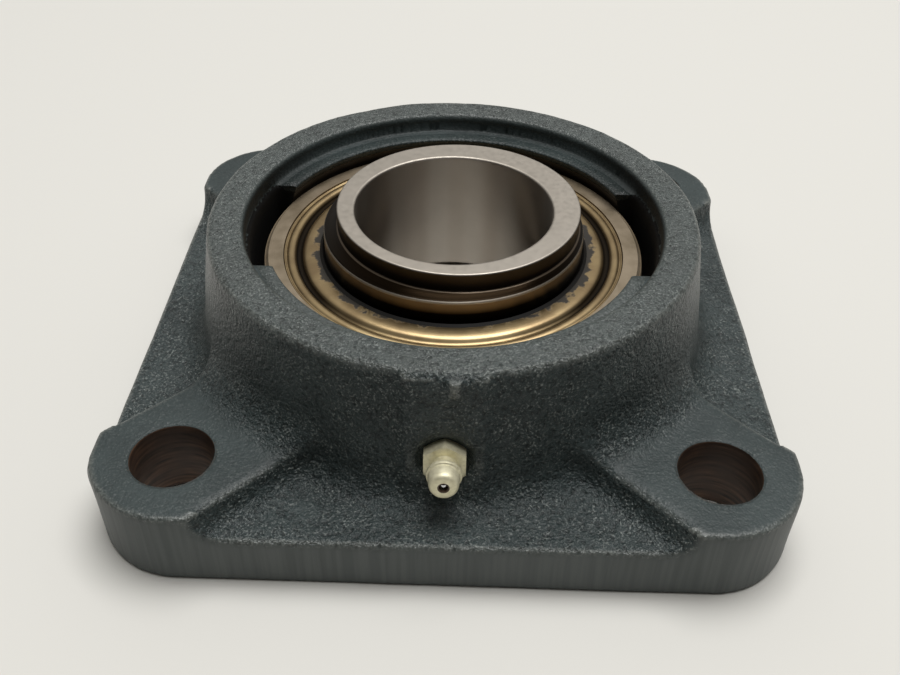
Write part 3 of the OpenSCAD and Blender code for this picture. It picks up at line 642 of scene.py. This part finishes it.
def clouded(name, settings, size, detail, dark, light, smooth, rough):
    """A new material whose colour and gloss drift together in clouds of a size in millimetres."""
    made, tree, shader, place = finish_named(name, settings)
    cloud = add(tree, "TexNoise", {"Scale": 1 / (size * MM), "Detail": detail},
                {"Vector": place}).outputs["Fac"]
    tone = add(tree, "Mix", {"data_type": "RGBA", 6: linear(dark), 7: linear(light)},
               {0: cloud}).outputs[2]
    tree.links.new(tone, shader.inputs["Base Color"])
    gloss = add(tree, "MapRange", {"To Min": smooth, "To Max": rough},
                {"Value": cloud}).outputs["Result"]
    tree.links.new(gloss, shader.inputs["Roughness"])
    return made


pressed = clouded("pressed_strip_steel", {"Metallic": 1}, size=4, detail=4,
                  dark="#8E8A84", light="#A9A59E", smooth=0.3, rough=0.45)
for node in ("cage_front_half", "cage_rear_half", "cage_rivets"):
    dress(node, pressed)

# Seal caps: rings pressed from sheet steel, with a bead and a channel, plated with yellow zinc.
# Each clamps a rubber lip against a flat backing washer. Black grease has crept over the inner
# edge, most of all at the sides. The sides are painted darker and browner, and the channel there
# near black: painted shade.
cap_face = 9.3
inner_edge = [(29.15, -0.4), (29.15, -0.2), (29.3, -0.03), (29.6, 0.03), (30.3, 0.05)]
channel_top = [(31.4, 0.05), (32.2, 0), (32.7, -0.12), (33.05, -0.35), (33.35, -0.68),
               (33.7, -0.92), (34.1, -0.96), (34.45, -0.8), (34.7, -0.5), (34.92, -0.16)]
bead = [(35.2, 0.04), (35.6, 0.13), (36.05, 0.13), (36.4, 0.04), (36.62, -0.14), (36.78, -0.26)]
outer_edge = [(36.92, -0.24), (37.06, -0.08), (37.2, -0.02), (37.35, -0.08), (37.43, -0.25),
              (37.43, -0.4)]
channel_under = [(35.2, -0.42), (34.95, -0.85), (34.6, -1.15), (34.1, -1.3), (33.6, -1.28),
                 (33.15, -1.05), (32.75, -0.65), (32.4, -0.42)]
cap_section = inner_edge + channel_top + bead + outer_edge + channel_under
plated, tree, shader, place = finish_named("yellow_zinc_plated_steel", {})
axes = add(tree, "SeparateXYZ", links={"Vector": place})
flat = add(tree, "CombineXYZ",
           links={"X": axes.outputs["X"], "Y": axes.outputs["Y"]}).outputs["Vector"]
out = add(tree, "VectorMath", {"operation": "LENGTH"}, {0: flat}).outputs["Value"]
cloud = add(tree, "TexNoise", {"Scale": 1 / (6 * MM), "Detail": 5},
            {"Vector": place}).outputs["Fac"]
ragged = add(tree, "TexNoise", {"Scale": 1 / (2.6 * MM), "Detail": 3},
             {"Vector": place}).outputs["Fac"]
across = add(tree, "Math", {"operation": "DIVIDE"}, {0: axes.outputs["X"], 1: out}).outputs["Value"]
across = add(tree, "Math", {"operation": "ABSOLUTE"}, {0: across}).outputs["Value"]
sides = add(tree, "MapRange", {"From Min": 0.1, "From Max": 0.9, "To Min": -0.8, "To Max": -0.3},
            {"Value": across}).outputs["Result"]
spread = add(tree, "Math", {"operation": "MULTIPLY_ADD", 1: 2},
             {0: ragged, 2: sides}).outputs["Value"]
creep = add(tree, "MapRange", {"From Min": 0.25, "From Max": 0.95, "To Min": 29 * MM,
                               "To Max": 31.8 * MM}, {"Value": spread}).outputs["Result"]
over = add(tree, "Math", {"operation": "SUBTRACT"}, {0: creep, 1: out}).outputs["Value"]
smear = add(tree, "MapRange", {"From Min": -0.35 * MM, "From Max": 0.4 * MM, "To Max": 0.95},
            {"Value": over}).outputs["Result"]
tinted = add(tree, "MapRange", {"From Min": 0.35, "From Max": 0.65},
             {"Value": cloud}).outputs["Result"]
tone = add(tree, "Mix", {"data_type": "RGBA", 6: linear("#988362"), 7: linear("#B8A27A")},
           {0: tinted}).outputs[2]
# Painted shade: the cap's left and right sides are mixed darker and browner.
painted_side_shade = add(tree, "MapRange", {"From Min": 0.35, "From Max": 0.8, "To Max": 0.28},
              {"Value": across}).outputs["Result"]
tone = add(tree, "Mix", {"data_type": "RGBA", 7: linear("#6E5B45")},
           {0: painted_side_shade, 6: tone}).outputs[2]
# Painted shade: the channel is mixed near black, most of all at the sides.
inward = add(tree, "MapRange", {"From Min": 32.9 * MM, "From Max": 33.4 * MM},
             {"Value": out}).outputs["Result"]
outward = add(tree, "MapRange", {"From Min": 34.95 * MM, "From Max": 34.6 * MM},
              {"Value": out}).outputs["Result"]
channel = add(tree, "Math", {"operation": "MULTIPLY"}, {0: inward, 1: outward}).outputs["Value"]
channel_side_share = add(tree, "MapRange", {"From Min": 0.3, "From Max": 0.8, "To Min": 0.2, "To Max": 0.97},
             {"Value": across}).outputs["Result"]
painted_channel_shade = add(tree, "Math", {"operation": "MULTIPLY"}, {0: channel, 1: channel_side_share}).outputs["Value"]
tone = add(tree, "Mix", {"data_type": "RGBA", 7: linear("#140D06")}, {0: painted_channel_shade, 6: tone}).outputs[2]
tone = add(tree, "Mix", {"data_type": "RGBA", 7: linear("#0E0C0A")}, {0: smear, 6: tone}).outputs[2]
tree.links.new(tone, shader.inputs["Base Color"])
bare = add(tree, "MapRange", {"To Min": 1, "To Max": 0}, {"Value": smear}).outputs["Result"]
tree.links.new(bare, shader.inputs["Metallic"])
gloss = add(tree, "MapRange", {"To Min": 0.37, "To Max": 0.7}, {"Value": smear}).outputs["Result"]
tree.links.new(gloss, shader.inputs["Roughness"])
for end, side in (("front", 1), ("rear", -1)):
    cap = bmesh.new()
    facing = [(r, side * (cap_face + z)) for r, z in cap_section]
    turned(cap, facing, steps=160, at=seat_centre)
    shown(cap, f"{end}_seal_cap_pressed", "insert", f"{end}_seal_cap", plated)
    dress(f"{end}_seal_backing", plated)

# Seal lips: washers moulded from nitrile rubber and clamped under the caps. Their lips run on the
# inner ring.
rubber = clouded("moulded_nitrile_rubber", {"IOR": 1.52, "Specular IOR Level": 0.25}, size=2,
                 detail=4, dark="#0A0908", light="#161310", smooth=0.42, rough=0.62)
for end in ("front", "rear"):
    dress(f"{end}_seal_lip", rubber)

# Grease nipple: turned from hexagon steel bar and zinc plated, screwed square into the leaned pad.
# A sprung check ball closes the hole in its tip, and a crimped ring holds the spring.
half_flats = 7.94 / 2
pad_at = Vector((0, -56.476, 21.3)) * MM
hub_draft, hub_rise = 4.2, 28.9
sunk = 2 * MM
mouth_r, mouth_low = 1.1 * MM, 8.42 * MM
stem = [(1.11, -5.4), (2.8, -5.4), (3.175, -5), (3.175, 0)]
hexagon = [(4.1, 0), (4.584, 0.3), (4.584, 2.6), (4.2, 2.92), (4, 3)]
neck = [(2.5, 3), (2.4, 3.1), (2.4, 4), (2.5, 4.2), (3.05, 4.9)]
rim_bead = [(3.25, 5.1), (3.36, 5.35), (3.36, 5.7), (3.28, 5.95), (3.05, 6.05)]
nose = [(2.98, 6.15), (2.93, 7.2), (2.83, 8.1), (2.7, 8.6), (2.48, 8.95), (2.15, 9.14), (1.8, 9.2)]
mouth = [(1.12, 9.2), (1, 9.2), (0.86, 9.12), (0.8, 8.95), (0.8, 8.45), (1.11, 8.4)]
body = bmesh.new()
turned(body, stem + hexagon + neck + rim_bead + nose + mouth, steps=72)
for turn in range(0, 360, 60):
    way = Vector((math.cos(math.radians(turn)), math.sin(math.radians(turn)), 0))
    cut = bmesh.ops.bisect_plane(body, geom=body.verts[:] + body.edges[:] + body.faces[:],
                                 plane_co=way * half_flats * MM, plane_no=way, clear_outer=True)
    rim = [item for item in cut["geom_cut"] if isinstance(item, bmesh.types.BMEdge)]
    bmesh.ops.edgeloop_fill(body, edges=rim)
    numbered(body)
for face in body.faces:
    middle = face.calc_center_median()
    in_mouth = math.hypot(middle.x, middle.y) < mouth_r and middle.z > mouth_low
    face.material_index = 1 if in_mouth else 0
lean = math.atan(hub_draft / hub_rise)
laid = Matrix.Rotation(math.pi / 2 - lean, 4, "X")
stand = Matrix.Translation(pad_at) @ laid @ Matrix.Translation((0, 0, -sunk))
bmesh.ops.transform(body, matrix=stand, verts=body.verts)
zinc = clouded("zinc_plated_steel", {"Metallic": 0.5}, size=0.7, detail=4,
               dark="#C6BF9B", light="#FBF5D9", smooth=0.42, rough=0.58)
nipple = shown(body, "grease_nipple_turned", "housing", "grease_nipple", zinc)
nipple.data.set_sharp_from_angle(angle=math.radians(32))

# Old grease: what the last greasing left round the mouth, dried brown.
grease, tree, shader, place = finish_named("dried_grease", {"Roughness": 0.45})
cloud = add(tree, "TexNoise", {"Scale": 1 / (0.5 * MM), "Detail": 3},
            {"Vector": place}).outputs["Fac"]
tone = add(tree, "Mix", {"data_type": "RGBA", 6: linear("#33241A"), 7: linear("#5A4432")},
           {0: cloud}).outputs[2]
tree.links.new(tone, shader.inputs["Base Color"])
nipple.data.materials.append(grease)
dress("nipple_spring_seat", zinc)

# Check spring: a small coil of drawn wire behind the check ball. A crimped ring holds its
# inner end.
wire = clouded("drawn_spring_wire", {"Metallic": 1}, size=0.6, detail=3,
               dark="#8C8C90", light="#A6A6AA", smooth=0.2, rough=0.35)
coil = bmesh.new()
coil.from_mesh(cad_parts["nipple_spring"].data)
spring = shown(coil, "nipple_spring_coil", "housing", "nipple_spring", wire)
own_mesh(spring)

# Table: the plain pale surface that the unit stands on.
table_r = 0.75
table = bmesh.new()
bmesh.ops.create_circle(table, cap_ends=True, segments=96, radius=table_r)
table_mesh = bpy.data.meshes.new("table_top")
table.to_mesh(table_mesh)
table.free()
table_top = bpy.data.objects.new("table_top", table_mesh)
bpy.context.scene.collection.objects.link(table_top)
board = {"Roughness": 0.8, "Base Color": linear("#DCDAD4")}
table_mesh.materials.append(finish_named("matt_white_board", board)[0])

# Light: one large soft box high above. The room is pale overhead and behind, and dim on the
# camera's side, so the bright metal has something dark to reflect. The camera itself sees it pale
# all round.
scene = bpy.context.scene
scene.view_settings.view_transform = "Standard"
world = bpy.data.worlds.new("pale_room")
world.use_nodes = True
tree = world.node_tree
axes = add(tree, "SeparateXYZ", links={"Vector": add(tree, "TexCoord").outputs["Generated"]})
behind = add(tree, "Math", {"operation": "MULTIPLY_ADD", 1: 0.55},
             {0: axes.outputs["Y"], 2: axes.outputs["Z"]}).outputs["Value"]
shade = add(tree, "MapRange", {"From Min": 0.25, "From Max": 0.9},
            {"Value": behind}).outputs["Result"]
glow = add(tree, "Mix", {"data_type": "RGBA", 6: linear("#2A2826"), 7: linear("#EDECE8")},
           {0: shade}).outputs[2]
seen = add(tree, "LightPath").outputs["Is Camera Ray"]
glow = add(tree, "Mix", {"data_type": "RGBA", 7: linear("#F0EEE9")}, {0: seen, 6: glow}).outputs[2]
tree.links.new(glow, tree.nodes["Background"].inputs["Color"])
strength = add(tree, "MapRange", {"To Min": 0.6, "To Max": 0.9}, {"Value": seen}).outputs["Result"]
tree.links.new(strength, tree.nodes["Background"].inputs["Strength"])
scene.world = world
lamp = bpy.data.lights.new("soft_box", "AREA")
lamp.size = 1.1
lamp.energy = 25
soft_box = bpy.data.objects.new("soft_box", lamp)
soft_box.location = (0.18, 0.2, 1.64)
soft_box.rotation_euler = (-soft_box.location).to_track_quat("-Z", "Y").to_euler()
scene.collection.objects.link(soft_box)

# Camera: where the photograph was taken from, worked out from the flange's corners and the rim.
turn, lift, roll = math.radians(0.948), math.radians(39.563), math.radians(1.034)
aim = Vector((-0.464, 5.903, 0)) * MM
away = 244.284
focal_length = 39.415
back = Vector((math.sin(turn) * math.cos(lift), -math.cos(turn) * math.cos(lift), math.sin(lift)))
level = Vector((math.cos(turn), math.sin(turn), 0))
rise = back.cross(level)
right = level * math.cos(roll) + rise * math.sin(roll)
up = rise * math.cos(roll) - level * math.sin(roll)
lens = bpy.data.cameras.new("camera")
lens.sensor_width = 36
lens.lens = focal_length
lens.clip_start = 0.01
camera = bpy.data.objects.new("camera", lens)
turned_to = Matrix((right, up, back)).transposed().to_4x4()
camera.matrix_world = Matrix.Translation(aim + back * away * MM) @ turned_to
scene.collection.objects.link(camera)
scene.camera = camera
